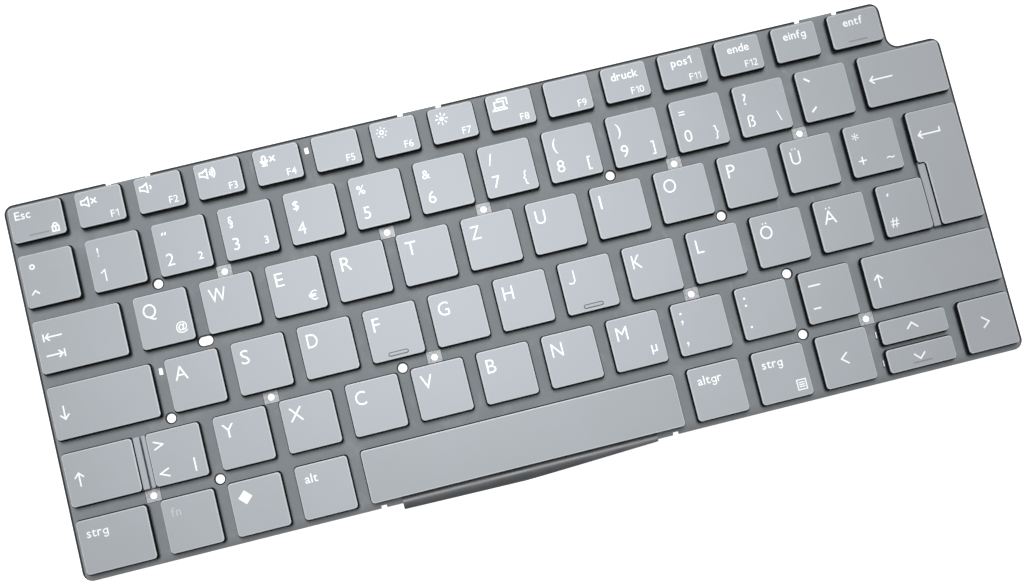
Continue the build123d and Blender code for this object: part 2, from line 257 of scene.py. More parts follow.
def grain_group():
    """Fine moulded grain, and broad uneven patches as from handling."""
    group, given, result = new_group(
        "moulded_grain", {"Grain scale": 4000.0, "Patch scale": 40.0}, ["Grain", "Patch"]
    )
    place = add_node(group, "TexCoord").outputs["Object"]
    fine = {"Vector": place, "Scale": given.outputs["Grain scale"], "Detail": 3.0, "Roughness": 0.6}
    broad = {"Vector": place, "Scale": given.outputs["Patch scale"], "Detail": 4.0, "Roughness": 0.55}
    grain = add_node(group, "TexNoise", fine).outputs["Fac"]
    patches = add_node(group, "TexNoise", broad).outputs["Fac"]
    feed(group, result, {"Grain": grain, "Patch": patches})
    return group


def scuff_group():
    """Short pale rub marks, thin and scattered, and soft blotches where a film was bent."""
    group, given, result = new_group("film_scuffs", {"Mark scale": 300.0}, ["Marks", "Blotches"])
    place = add_node(group, "TexCoord").outputs["Object"]
    turned = add_node(group, "Mapping", {"Vector": place, "Rotation": (0, 0, 0.7), "Scale": (1, 0.3, 1)})
    lines = add_node(
        group, "TexNoise",
        {"Vector": turned.outputs["Vector"], "Scale": given.outputs["Mark scale"], "Detail": 2.0},
    )
    cloud = add_node(group, "TexNoise", {"Vector": place, "Scale": 90.0, "Detail": 5.0, "Roughness": 0.65})
    marks = graded(group, lines.outputs["Fac"], 0.68, 0.78)
    blotches = graded(group, cloud.outputs["Fac"], 0.52, 0.78)
    feed(group, result, {"Marks": marks, "Blotches": blotches})
    return group


moulded_grain = grain_group()
film_scuffs = scuff_group()
PATCHES = (0.3, 0.7)              # between these values the broad patches go from one tone to the other


def new_material(name):
    """Material with a Principled shader, and its node tree."""
    material = bpy.data.materials.new(name)
    material.use_nodes = True
    return material, material.node_tree, material.node_tree.nodes["Principled BSDF"]


def grained_material(
    name, dark, light, rough, grain=4000.0, patch=40.0, bump=0.15, depth=0.01 * MM, **fixed
):
    """Plastic, rubber or coated finish: patches between two tones, a fine grain and an uneven gloss."""
    material, tree, shader = new_material(name)
    texture = add_node(
        tree, "Group", {"Grain scale": grain, "Patch scale": patch}, node_tree=moulded_grain
    )
    patches = texture.outputs["Patch"]
    tone = graded(tree, patches, *PATCHES)
    feed(tree, shader, {
        "Base Color": mix_colours(tree, tone, (*dark, 1), (*light, 1)),
        "Roughness": graded(tree, patches, *PATCHES, *rough),
        "Normal": bumped(tree, bump, depth, texture.outputs["Grain"]),
    })
    for socket, value in fixed.items():
        shader.inputs[socket.replace("_", " ").title().replace("Ior", "IOR")].default_value = value
    return material


def paint_shade_to_front(material, edge, reach, least):
    """Paints shade into a material's colour: darker towards a front edge, down to a least share."""
    tree = material.node_tree
    socket = tree.nodes["Principled BSDF"].inputs["Base Color"]
    place = add_node(tree, "SeparateXYZ", {"Vector": add_node(tree, "TexCoord").outputs["Object"]})
    shade = graded(tree, place.outputs["Y"], edge, edge + reach, least)
    colour = mix_colours(tree, 1.0, socket.links[0].from_socket, shade, blend_type="MULTIPLY")
    tree.links.new(colour, socket)


def film_material():
    """Printed switch film: mid grey, mottled, with faint rub marks and paler blotches, and a painted shadow
    along its front edge.
    """
    material, tree, shader = new_material("printed_film")
    texture = add_node(
        tree, "Group", {"Grain scale": 2500.0, "Patch scale": 70.0}, node_tree=moulded_grain
    )
    scuffs = add_node(tree, "Group", {"Mark scale": 420.0}, node_tree=film_scuffs)
    patches = texture.outputs["Patch"]
    base = mix_colours(tree, patches, (0.185, 0.205, 0.221, 1), (0.265, 0.293, 0.315, 1))
    blotch = combined(tree, scuffs.outputs["Blotches"], 0.35, "MULTIPLY")
    mark = combined(tree, scuffs.outputs["Marks"], 0.3, "MULTIPLY")
    worn = combined(tree, blotch, mark, "MAXIMUM")
    feed(tree, shader, {
        "Base Color": mix_colours(tree, worn, base, (0.46, 0.485, 0.51, 1)),
        "Roughness": graded(tree, patches, *PATCHES, 0.5, 0.66),
        "Normal": bumped(tree, 0.2, 0.02 * MM, patches),
    })
    # Painted shadow: darker towards the front edge, where the front caps shade the film.
    paint_shade_to_front(material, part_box("switch_film")[0].y, FRONT_PAINTED_SHADOW, FRONT_EDGE_SHARE)
    return material


def window_material():
    """Clear film without print over a window: pale, with crease lines that run from corner to corner."""
    material, tree, shader = new_material("window_film")
    place = add_node(tree, "TexCoord").outputs["Object"]
    cells = add_node(
        tree, "TexVoronoi", {"Vector": place, "Scale": 260.0}, feature="DISTANCE_TO_EDGE"
    )
    crease = graded(tree, cells.outputs["Distance"], 0.0, 0.07, 1.0, 0.0)
    cloud = add_node(tree, "TexNoise", {"Vector": place, "Scale": 700.0, "Detail": 3.0})
    pale = mix_colours(tree, cloud.outputs["Fac"], (0.42, 0.445, 0.47, 1), (0.56, 0.585, 0.61, 1))
    share = combined(tree, crease, 0.6, "MULTIPLY")
    feed(tree, shader, {
        "Base Color": mix_colours(tree, share, pale, (0.25, 0.265, 0.285, 1)),
        "Normal": bumped(tree, 0.4, 0.05 * MM, crease),
    })
    shader.inputs["Roughness"].default_value = 0.35
    return material


def wire_material():
    """Drawn steel wire, with fine lines along its length."""
    material, tree, shader = new_material("drawn_steel")
    place = add_node(tree, "TexCoord").outputs["Object"]
    along = add_node(tree, "Mapping", {"Vector": place, "Scale": (0.05, 1, 1)})
    lines = add_node(tree, "TexNoise", {"Vector": along.outputs["Vector"], "Scale": 9000.0, "Detail": 2.0})
    streaks = lines.outputs["Fac"]
    feed(tree, shader, {
        "Base Color": mix_colours(tree, streaks, (0.42, 0.43, 0.44, 1), (0.68, 0.68, 0.69, 1)),
        "Roughness": graded(tree, streaks, 0.0, 1.0, 0.25, 0.45),
    })
    shader.inputs["Metallic"].default_value = 1.0
    return material


PRINT_PAINTED_GLOW = 0.3                  # painted glow on the white legends, which keeps them bright where the light is dimmer
cap_top = grained_material(
    "keycap_top", (0.49, 0.51, 0.55), (0.53, 0.55, 0.595), (0.5, 0.6), bump=0.12
)
# The rim bevel is a lighter copy of the caps' top: a painted highlight along their edges.
rim_highlight = grained_material("keycap_rim_painted_highlight", (0.72, 0.745, 0.78), (0.78, 0.805, 0.84), (0.4, 0.5), bump=0.08)
# The caps' walls and undersides are near black: a painted shade on the sides that the light hardly reaches.
wall_shade = grained_material(
    "keycap_wall_painted_shade", (0.014, 0.015, 0.018), (0.024, 0.026, 0.03), (0.55, 0.65), specular_ior_level=0.0
)
# White print with a painted glow
glowing_print = grained_material(
    "white_print_painted_glow", (0.9, 0.91, 0.92), (0.97, 0.97, 0.97), (0.45, 0.55), bump=0.05,
    emission_color=(1, 1, 1, 1), emission_strength=PRINT_PAINTED_GLOW,
)
dim_print = grained_material("dim_print", (0.66, 0.69, 0.71), (0.74, 0.76, 0.78), (0.45, 0.55), bump=0.05)
# Dark ring under each homing ridge: a painted shadow round it.
homing_shadow = grained_material("homing_shadow", (0.03, 0.032, 0.036), (0.05, 0.053, 0.058), (0.5, 0.6))
faint_bar = grained_material("faint_bar", (0.3, 0.315, 0.335), (0.36, 0.375, 0.395), (0.45, 0.55))
plate_coat = grained_material(
    "plate_coating", (0.02, 0.022, 0.025), (0.034, 0.037, 0.041), (0.4, 0.55), patch=90.0,
    specular_ior_level=0.15,
)
dome_rubber = grained_material(
    "dome_silicone", (0.3, 0.31, 0.32), (0.42, 0.43, 0.44), (0.5, 0.65), patch=300.0
)
link_plastic = grained_material(
    "link_nylon", (0.03, 0.031, 0.034), (0.05, 0.052, 0.056), (0.35, 0.5), patch=200.0
)
flap_film = grained_material(
    "flap_film", (0.1, 0.108, 0.118), (0.16, 0.171, 0.185), (0.3, 0.42), grain=1500.0, patch=160.0, bump=0.3
)
# Painted shade: the flap is darker towards its free edge, as on the side of its curl turned from the light.
paint_shade_to_front(flap_film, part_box("front_film_flap")[0].y, FLAP_PAINTED_SHADE, FLAP_EDGE_SHARE)
space_top = grained_material(
    "space_top", (0.435, 0.453, 0.488), (0.47, 0.488, 0.528), (0.5, 0.6), bump=0.12
)
cap_materials = [cap_top, rim_highlight, wall_shade, glowing_print, dim_print, homing_shadow, faint_bar]
TOP, RIM_HIGHLIGHT, SHADED_WALL, PRINT, DIM, SHADOW_RING, BAR = range(len(cap_materials))


# Legends
Style = namedtuple("Style", "align across down height ink")
# align: which edge across is measured from. down: from the cap's back edge to the baseline.
# ink: how much bolder than the font, against a capital's height.
LETTER = Style("LEFT", 2.1 * MM, 6.5 * MM, 3.95 * MM, -0.008)
UMLAUT = Style("LEFT", 2.1 * MM, 7.1 * MM, 3.9 * MM, -0.008)
UPPER = Style("CENTER", 3.1 * MM, 5.1 * MM, 2.5 * MM, 0.006)
TALL_UPPER = Style("CENTER", 3.0 * MM, 5.7 * MM, 3.3 * MM, 0.0)
LOWER = Style("CENTER", 3.4 * MM, 12.4 * MM, 3.5 * MM, -0.006)
SMALL_LOWER = Style("CENTER", 3.0 * MM, 12.3 * MM, 2.8 * MM, 0.0)
THIRD = Style("CENTER", 11.7 * MM, 12.5 * MM, 3.0 * MM, 0.0)
SMALL_THIRD = Style("CENTER", 12.0 * MM, 12.5 * MM, 2.1 * MM, 0.014)
ROUND_THIRD = Style("CENTER", 11.85 * MM, 11.95 * MM, 2.35 * MM, 0.012)
LETTER_THIRD = Style("CENTER", 11.8 * MM, 11.6 * MM, 3.0 * MM, 0.0)
WORD = Style("LEFT", 2.3 * MM, 5.05 * MM, 2.45 * MM, 0.01)
FUNCTION = Style("RIGHT", 1.8 * MM, 9.0 * MM, 2.05 * MM, -0.004)
FUNCTION_WORD = Style("CENTER", 6.6 * MM, 4.05 * MM, 2.3 * MM, 0.016)
DELETE_WORD = Style("CENTER", 7.2 * MM, 4.05 * MM, 2.3 * MM, 0.016)

NUMBER_NAMES = "caret one two three four five six seven eight nine zero sharp_s acute backspace".split()
FUNCTION_NAMES = "escape f1 f2 f3 f4 f5 f6 f7 f8 f9 f10 f11 f12 insert delete".split()

LEGENDS = {name: [(name.upper(), LETTER)] for name in "qwertzuiopasdfghjklyxcvbnm"}
LEGENDS["q"].append(("@", ROUND_THIRD))
LEGENDS["e"].append(("€", THIRD))
LEGENDS["m"].append(("µ", LETTER_THIRD))
LEGENDS.update({
    "u_umlaut": [("Ü", UMLAUT)], "o_umlaut": [("Ö", UMLAUT)], "a_umlaut": [("Ä", UMLAUT)],
    "one": [("!", UPPER), ("1", LOWER)],
    "two": [("\"", UPPER), ("2", LOWER), ("2", SMALL_THIRD)],
    "three": [("§", UPPER), ("3", LOWER), ("3", SMALL_THIRD)],
    "four": [("$", UPPER), ("4", LOWER)],
    "five": [("%", UPPER), ("5", LOWER)],
    "six": [("&", UPPER), ("6", LOWER)],
    "seven": [("/", TALL_UPPER), ("7", LOWER), ("{", THIRD)],
    "eight": [("(", TALL_UPPER), ("8", LOWER), ("[", THIRD)],
    "nine": [(")", TALL_UPPER), ("9", LOWER), ("]", THIRD)],
    "zero": [("=", UPPER), ("0", LOWER), ("}", THIRD)],
    "sharp_s": [("?", TALL_UPPER), ("ß", LOWER), ("\\", THIRD)],
    "plus": [("*", TALL_UPPER), ("+", LOWER), ("~", THIRD)],
    "hash": [("'", TALL_UPPER), ("#", SMALL_LOWER)],
    "control_left": [("strg", WORD)], "control_right": [("strg", WORD)],
    "alt_left": [("alt", WORD)], "alt_right": [("altgr", WORD)], "function": [("fn", WORD)],
    "escape": [("Esc", WORD._replace(across=1.6 * MM, down=3.7 * MM, height=2.35 * MM))],
    "f10": [("druck", FUNCTION_WORD)], "f11": [("pos1", FUNCTION_WORD)], "f12": [("ende", FUNCTION_WORD)],
    "insert": [("einfg", FUNCTION_WORD)], "delete": [("entf", DELETE_WORD)],
})
for name in FUNCTION_NAMES[1:13]:
    LEGENDS.setdefault(name, []).append((name.upper(), FUNCTION))

# Drawn signs, in millimetres about their own middle: bars from end to end, arcs and filled outlines
SPEAKER = [
    ("bar", -2.1, 0.55, -1.2, 0.55), ("bar", -2.1, -0.55, -1.2, -0.55), ("bar", -2.1, -0.55, -2.1, 0.55),
    ("bar", -1.2, 0.55, 0.0, 1.3), ("bar", -1.2, -0.55, 0.0, -1.3), ("bar", 0.0, -1.3, 0.0, 1.3),
]
CROSS = [("bar", 0.9, -0.6, 2.1, 0.6), ("bar", 0.9, 0.6, 2.1, -0.6)]
COMMA = [("disc", 0.0, 0.0, 0.34), ("fill", (0.0, -0.25), (0.34, 0.0), (-0.05, -0.95), (-0.35, -0.95))]


def rays(first, last):
    """Eight short lines round a point, between two distances from it."""
    ways = [(cos(turn * pi / 4), sin(turn * pi / 4)) for turn in range(8)]
    return [("bar", first * x, first * y, last * x, last * y) for x, y in ways]


SIGNS = {
    "speaker_off": SPEAKER + CROSS,
    "speaker_low": SPEAKER + [("arc", 0.3, 0.0, 0.75, -50, 50)],
    "speaker_high": SPEAKER + [("arc", 0.2, 0.0, size, -48, 48) for size in (0.75, 1.4, 2.05)],
    "microphone_off": [
        ("arc", -0.9, 0.7, 0.5, 0, 180), ("arc", -0.9, 0.0, 0.5, 180, 360), ("bar", -1.4, 0.0, -1.4, 0.7),
        ("bar", -0.4, 0.0, -0.4, 0.7), ("arc", -0.9, 0.0, 1.0, 180, 360), ("bar", -0.9, -1.0, -0.9, -1.6),
        ("bar", -1.5, -1.6, -0.3, -1.6), *CROSS,
    ],
    "sun_dim": [("arc", 0.0, 0.0, 0.55, 0, 360), *rays(1.3, 1.45)],
    "sun_bright": [("disc", 0.0, 0.0, 0.65), *rays(1.2, 1.7)],
    "displays": [
        ("bar", -0.6, 1.6, 2.1, 1.6), ("bar", 2.1, 1.6, 2.1, -0.2), ("bar", -0.6, 1.6, -0.6, 0.9),
        ("bar", -1.6, 0.8, 1.1, 0.8), ("bar", -1.6, 0.8, -1.6, -0.9), ("bar", 1.1, 0.8, 1.1, -0.9),
        ("bar", -1.6, -0.9, 1.1, -0.9), ("bar", -2.3, -1.6, 1.8, -1.6), ("bar", -1.6, -0.9, -2.3, -1.6),
        ("bar", 1.1, -0.9, 1.8, -1.6),
    ],
    "lock": [
        ("bar", -0.9, -1.2, 0.9, -1.2), ("bar", -0.9, 0.25, 0.9, 0.25), ("bar", -0.9, -1.2, -0.9, 0.25),
        ("bar", 0.9, -1.2, 0.9, 0.25), ("arc", 0.0, 0.5, 0.62, 0, 180), ("bar", 0.0, -0.75, 0.0, -0.2),
    ],
    "menu": [
        ("bar", -1.3, 1.4, 1.3, 1.4), ("bar", -1.3, -1.4, 1.3, -1.4), ("bar", -1.3, -1.4, -1.3, 1.4),
        ("bar", 1.3, -1.4, 1.3, 1.4), ("bar", -0.7, 0.6, 0.7, 0.6), ("bar", -0.7, 0.0, 0.7, 0.0),
        ("bar", -0.7, -0.6, 0.7, -0.6),
    ],
    "diamond": [("fill", (0.0, -2.0), (2.0, 0.0), (0.0, 2.0), (-2.0, 0.0))],
    "back": [("bar", -3.3, 0.0, 3.3, 0.0), ("bar", -3.3, 0.0, -2.3, 1.0), ("bar", -3.3, 0.0, -2.3, -1.0)],
    "return": [
        ("bar", -3.3, 0.0, 3.2, 0.0), ("bar", -3.3, 0.0, -2.3, 1.0), ("bar", -3.3, 0.0, -2.3, -1.0),
        ("bar", 3.2, 0.0, 3.2, 1.1),
    ],
    "to_start": [
        ("bar", -1.9, 0.0, 2.5, 0.0), ("bar", -1.9, 0.0, -1.0, 0.9), ("bar", -1.9, 0.0, -1.0, -0.9),
        ("bar", -2.5, -0.9, -2.5, 0.9),
    ],
    "to_end": [
        ("bar", 1.9, 0.0, -2.5, 0.0), ("bar", 1.9, 0.0, 1.0, 0.9), ("bar", 1.9, 0.0, 1.0, -0.9),
        ("bar", 2.5, -0.9, 2.5, 0.9),
    ],
    "up": [("bar", 0.0, -1.8, 0.0, 1.8), ("bar", 0.0, 1.8, 1.15, 0.65), ("bar", 0.0, 1.8, -1.15, 0.65)],
    "down": [("bar", 0.0, -1.8, 0.0, 1.8), ("bar", 0.0, -1.8, 1.15, -0.65), ("bar", 0.0, -1.8, -1.15, -0.65)],
    "chevron_left": [("bar", -0.9, 0.0, 0.9, 1.5), ("bar", -0.9, 0.0, 0.9, -1.5)],
    "chevron_right": [("bar", 0.9, 0.0, -0.9, 1.5), ("bar", 0.9, 0.0, -0.9, -1.5)],
    "chevron_up": [("bar", 0.0, 0.8, 1.5, -0.7), ("bar", 0.0, 0.8, -1.5, -0.7)],
    "chevron_down": [("bar", 0.0, -0.8, 1.5, 0.7), ("bar", 0.0, -0.8, -1.5, 0.7)],
    "greater": [("bar", 1.2, 0.0, -1.2, 1.05), ("bar", 1.2, 0.0, -1.2, -1.05)],
    "less": [("bar", -1.2, 0.0, 1.2, 1.05), ("bar", -1.2, 0.0, 1.2, -1.05)],
    "upright": [("bar", 0.0, -1.7, 0.0, 1.7)],
    "long_dash": [("bar", -1.6, 0.0, 1.6, 0.0)],
    "short_dash": [("bar", -0.9, 0.0, 0.9, 0.0)],
    "ring": [("arc", 0.0, 0.0, 0.6, 0, 360)],
    "hat": [("bar", 0.0, 0.5, 0.95, -0.4), ("bar", 0.0, 0.5, -0.95, -0.4)],
    "grave": [("bar", -0.55, 0.45, 0.55, -0.45)],
    "acute": [("bar", -0.6, -0.5, 0.6, 0.5)],
    "comma": COMMA,
    "semicolon": [("disc", 0.0, 2.3, 0.34), *COMMA],
    "dot": [("disc", 0.0, 0.0, 0.34)],
    "colon": [("disc", 0.0, 2.1, 0.34), ("disc", 0.0, 0.0, 0.34)],
}
THIN_SIGNS = {"sun_dim": 0.75, "sun_bright": 0.75, "menu": 0.75, "grave": 1.25, "acute": 1.25}
# Signs on a cap: name, and its middle from the cap's left and back edges in millimetres
PLACED_SIGNS = {
    "caret": [("ring", 3.4, 3.6), ("hat", 2.9, 10.9)],
    "acute": [("grave", 3.1, 2.8), ("acute", 3.1, 11.7)],
    "backspace": [("back", 5.5, 7.25)],
    "enter": [("return", 5.5, 7.2)],
    "tab": [("to_start", 4.75, 5.0), ("to_end", 4.75, 10.2)],
    "caps_lock": [("down", 3.5, 7.7)],
    "shift_left": [("up", 3.7, 7.8)],
    "shift_right": [("up", 3.5, 7.5)],
    "angle": [("greater", 3.05, 3.7), ("less", 3.05, 11.7), ("upright", 11.8, 11.3)],
    "hyphen": [("long_dash", 3.9, 4.2), ("short_dash", 3.2, 10.8)],
    "comma": [("semicolon", 2.4, 5.3), ("comma", 2.5, 11.6)],
    "full_stop": [("colon", 2.3, 5.2), ("dot", 2.4, 11.5)],
    "system": [("diamond", 4.2, 4.6)],
    "control_right": [("menu", 12.2, 11.7)],
    "arrow_left": [("chevron_left", 7.0, 7.5)],
    "arrow_right": [("chevron_right", 6.8, 7.1)],
    "arrow_up": [("chevron_up", 9.45, 2.9)],
    "arrow_down": [("chevron_down", 9.45, 3.6)],
    "escape": [("lock", 12.2, 7.9)],
    "f1": [("speaker_off", 3.6, 3.1)],
    "f2": [("speaker_low", 3.4, 3.1)],
    "f3": [("speaker_high", 3.5, 3.1)],
    "f4": [("microphone_off", 3.8, 3.1)],
    "f6": [("sun_dim", 3.1, 3.1)],
    "f7": [("sun_bright", 3.6, 3.2)],
    "f8": [("displays", 3.8, 3.0)],
}
# Signs of lettering that are drawn, about their own left foot with a capital's height of one
DRAWN_SIGNS = {
    "1": [("bar", 0.34, 0.05, 0.34, 0.95), ("bar", 0.34, 0.95, 0.04, 0.74)],
    "J": [("bar", 0.55, 0.26, 0.55, 0.95), ("arc", 0.31, 0.29, 0.24, 215, 360)],
    "g": [
        ("arc", 0.3, 0.31, 0.25, 0, 360), ("bar", 0.55, -0.02, 0.55, 0.58),
        ("arc", 0.3, -0.03, 0.25, 205, 360),
    ],
    "\"": [
        ("fill", (x, 0.66), (x + 0.2, 0.66), (x + 0.2, 0.8), (x + 0.26, 1.0), (x + 0.14, 1.0), (x, 0.82))
        for x in (0, 0.34)
    ],
    "'": [("fill", (0, 0.72), (0.16, 0.72), (0.16, 0.82), (0.21, 0.98), (0.11, 0.98), (0, 0.84))],
    "€": [("arc", 0.52, 0.5, 0.42, 55, 305), ("bar", 0.0, 0.58, 0.6, 0.58), ("bar", 0.0, 0.42, 0.55, 0.42)],
}
# Widths against those of the font
SIGN_WIDTHS = {
    "C": 0.88, "D": 0.86, "E": 1.06, "G": 0.9, "H": 0.9, "K": 0.84, "L": 0.92, "M": 0.9, "N": 0.9, "O": 0.88,
    "Q": 0.9, "S": 1.1, "T": 0.94, "U": 0.88, "W": 0.82, "Z": 0.78, "Ü": 0.88, "Ö": 0.88,
}
# Homing ridges, and faint bars near the front edge of other caps
RIDGED = ("f", "j")
BARRED = ("escape", "delete", "arrow_down")


def curve_mesh(curve):
    """A text or a flat curve made a mesh."""
    holder = bpy.data.objects.new("outline", curve)
    scene.collection.objects.link(holder)
    bpy.context.view_layer.update()
    mesh = bpy.data.meshes.new_from_object(holder.evaluated_get(bpy.context.evaluated_depsgraph_get()))
    bpy.data.objects.remove(holder)
    return mesh


def font_mesh(sign, height, spread):
    """One sign of the font with a capital's height and its baseline at zero."""
    curve = bpy.data.curves.new("lettering", "FONT")
    curve.body = sign
    curve.size = height
    curve.offset = spread
    curve.extrude = PRINT_DEPTH / 2
    curve.resolution_u = 3
    mesh = curve_mesh(curve)
    bpy.data.curves.remove(curve)
    return mesh


def mesh_span(mesh, axis):
    """Lowest and highest place of a mesh along an axis."""
    places = [v.co[axis] for v in mesh.vertices]
    return min(places), max(places)


CAPITAL = mesh_span(font_mesh("H", 1.0, 0.0), 1)[1]     # height of a capital in a font of size one


def sign_mesh(sign, height, ink):
    """One printed sign with its left edge and its baseline at zero."""
    if sign in DRAWN_SIGNS:
        bm = bmesh.new()
        width = (STROKE / LETTER.height + 2 * ink) * height
        add_strokes(bm, DRAWN_SIGNS[sign], Vector((0, 0, 0)), height, width, 0)
        mesh = bpy.data.meshes.new(sign)
        bm.to_mesh(mesh)
        bm.free()
    else:
        mesh = font_mesh(sign, height / CAPITAL, ink * height)
    left = mesh_span(mesh, 0)[0]
    mesh.transform(Matrix.Diagonal((SIGN_WIDTHS.get(sign, 1), 1, 1, 1)) @ Matrix.Translation((-left, 0, 0)))
    return mesh


def add_words(bm, words, style, low, high, material):
    """Prints words on a cap between its lowest and highest corners."""
    meshes = [sign_mesh(sign, style.height, style.ink) for sign in words]
    space = LETTER_SPACE * style.height
    length = sum(mesh_span(mesh, 0)[1] + space for mesh in meshes) - space
    starts = {"LEFT": low.x + style.across, "CENTER": low.x + style.across - length / 2}
    x = starts.get(style.align, high.x - style.across - length)
    for mesh in meshes:
        width = mesh_span(mesh, 0)[1]
        mesh.transform(Matrix.Translation((x, high.y - style.down, high.z + PRINT_RISE - PRINT_DEPTH / 2)))
        before = len(bm.faces)
        bm.from_mesh(mesh)
        bpy.data.meshes.remove(mesh)
        bm.faces.ensure_lookup_table()
        for face in bm.faces[before:]:
            face.material_index = material
        x += width + space


def add_bar(bm, start, end, width, material):
    """Printed line from one point to another."""
    along = end - start
    turn = Matrix.Rotation(atan2(along.y, along.x), 4, "Z")
    size = Matrix.Diagonal((along.length + width, width, PRINT_DEPTH, 1))
    place = Matrix.Translation((start + end) / 2) @ turn @ size
    paint(bmesh.ops.create_cube(bm, size=1, matrix=place)["verts"], material)


def add_arc(bm, centre, radius, first, last, width, material):
    """Printed arc, a flat strip turned about its centre."""
    faces_before = set(bm.faces)
    way = Matrix.Rotation(radians(first), 4, "Z") @ Vector((1, 0, 0))
    inner = bm.verts.new(centre + way * (radius - width / 2))
    outer = bm.verts.new(centre + way * (radius + width / 2))
    line = bm.edges.new((inner, outer))
    bmesh.ops.spin(
        bm, geom=[inner, outer, line], cent=centre, axis=(0, 0, 1), angle=radians(last - first),
        steps=max(ARC_STEPS_LEAST, round((last - first) / ARC_STEP)), use_merge=last - first == 360,
    )
    faces = [f for f in bm.faces if f not in faces_before]
    bmesh.ops.recalc_face_normals(bm, faces=faces)
    for face in faces:
        face.material_index = material
        if face.normal.z < 0:
            face.normal_flip()


def add_strokes(bm, strokes, centre, scale, width, material):
    """Printed sign about a point, each of its lines a little above the one before."""
    for step, (kind, *sizes) in enumerate(strokes):
        level = centre + Vector((0, 0, step * PRINT_STEP))
        top = level + Vector((0, 0, PRINT_DEPTH / 2))
        if kind == "bar":
            x0, y0, x1, y1 = [size * scale for size in sizes]
            add_bar(bm, level + Vector((x0, y0, 0)), level + Vector((x1, y1, 0)), width, material)
        elif kind == "arc":
            x, y, radius = [size * scale for size in sizes[:3]]
            add_arc(bm, top + Vector((x, y, 0)), radius, *sizes[3:], width, material)
        elif kind == "disc":
            x, y, radius = [size * scale for size in sizes]
            place = Matrix.Translation(top + Vector((x, y, 0)))
            disc = bmesh.ops.create_circle(
                bm, cap_ends=True, radius=radius, segments=DOT_STEPS, matrix=place
            )
            paint(disc["verts"], material)
        else:
            corners = [bm.verts.new(top + Vector((x * scale, y * scale, 0))) for x, y in sizes]
            bm.faces.new(corners).material_index = material


def add_legends(bm, name, low, high):
    """All that is printed on one cap."""
    ink = DIM if name == "function" else PRINT
    for words, style in LEGENDS.get(name, []):
        add_words(bm, words, style, low, high, ink)
    for sign, across, down in PLACED_SIGNS.get(name, []):
        height = high.z + PRINT_RISE - PRINT_DEPTH / 2
        place = Vector((low.x + across * MM, high.y - down * MM, height))
        add_strokes(bm, SIGNS[sign], place, MM, STROKE * THIN_SIGNS.get(sign, 1), ink)
    front = Vector(((low.x + high.x) / 2, low.y + HOMING_SETBACK, high.z))
    if name in RIDGED:
        # A flat dark pill under the homing ridge and wider than it: a painted shadow round the ridge.
        shadow_length = HOMING_LENGTH + 2 * HOMING_SHADOW_WIDTH
        shadow_width = HOMING_WIDTH + 2 * HOMING_SHADOW_WIDTH
        add_pill(bm, front, shadow_length, shadow_width, PRINT_RISE, SHADOW_RING)
        add_pill(bm, front, HOMING_LENGTH, HOMING_WIDTH, HOMING_RISE, TOP, HOMING_EDGE)
    elif name in BARRED:
        add_pill(bm, front, BAR_LENGTH, BAR_WIDTH, PRINT_RISE, BAR)


def add_pill(bm, place, length, width, rise, material, edge=0.0):
    """Low bar with round ends on a cap, with its top edge softened where an edge size is given."""
    pill = bmesh.new()
    size = Matrix.Diagonal((length, width, 2 * rise, 1))
    bmesh.ops.create_cube(pill, size=1, matrix=Matrix.Translation(place) @ size)
    upright = [e for e in pill.edges if abs(e.verts[0].co.z - e.verts[1].co.z) > rise]
    bmesh.ops.bevel(
        pill, geom=upright, offset=PILL_ROUND * width, affect="EDGES", segments=PILL_STEPS, profile=0.5,
        material=-1,
    )
    if edge:
        roof = max(pill.faces, key=lambda f: f.calc_center_median().z)
        bmesh.ops.bevel(
            pill, geom=list(roof.edges), offset=edge, affect="EDGES", segments=2, profile=0.5, material=-1
        )
    for face in pill.faces:
        face.material_index = material
    join_part(bm, pill)


# Caps
def add_cap(bm, corners, bottom, top):
    """Hollow cap over an outline of a few corners, with rounded corners and a softened top edge."""
    cap = bmesh.new()
    face = cap.faces.new([cap.verts.new((x, y, bottom)) for x, y in corners])
    raised = bmesh.ops.extrude_face_region(cap, geom=[face])["geom"]
    lifted = [v for v in raised if isinstance(v, bmesh.types.BMVert)]
    bmesh.ops.translate(cap, verts=lifted, vec=(0, 0, top - bottom))
    bmesh.ops.recalc_face_normals(cap, faces=cap.faces)
    upright = [e for e in cap.edges if abs(e.verts[0].co.z - e.verts[1].co.z) > MM / 10]
    bmesh.ops.bevel(
        cap, geom=upright, offset=CAP_CORNER, affect="EDGES", segments=CORNER_STEPS, profile=0.5, material=-1
    )
    under = min(cap.faces, key=lambda f: f.calc_center_median().z)
    bmesh.ops.inset_region(cap, faces=[under], thickness=CAP_WALL)
    bmesh.ops.translate(cap, verts=under.verts, vec=(0, 0, top - CAP_ROOF - bottom))
    rim = [v for v in cap.verts if v.co.z < bottom + NEAR]
    low_x, high_x = min(x for x, y in corners), max(x for x, y in corners)
    low_y, high_y = min(y for x, y in corners), max(y for x, y in corners)
    to_middle = Matrix.Translation((-(low_x + high_x) / 2, -(low_y + high_y) / 2, 0))
    spread = (1 + 2 * CAP_FLARE / (high_x - low_x), 1 + 2 * CAP_FLARE / (high_y - low_y), 1)
    bmesh.ops.scale(cap, verts=rim, vec=spread, space=to_middle)
    roof = max(cap.faces, key=lambda f: f.calc_center_median().z)
    bmesh.ops.bevel(
        cap, geom=list(roof.edges), offset=TOP_EDGE, affect="EDGES", segments=TOP_EDGE_STEPS, profile=0.5,
        material=-1,
    )
    cap.normal_update()
    # The walls and underside get a near-black painted shade, and the sloped rim a painted highlight.
    for face in cap.faces:
        up = face.normal.z
        face.material_index = TOP if up > FLAT_FACE else RIM_HIGHLIGHT if up > SLOPED_FACE else SHADED_WALL
    join_part(bm, cap)


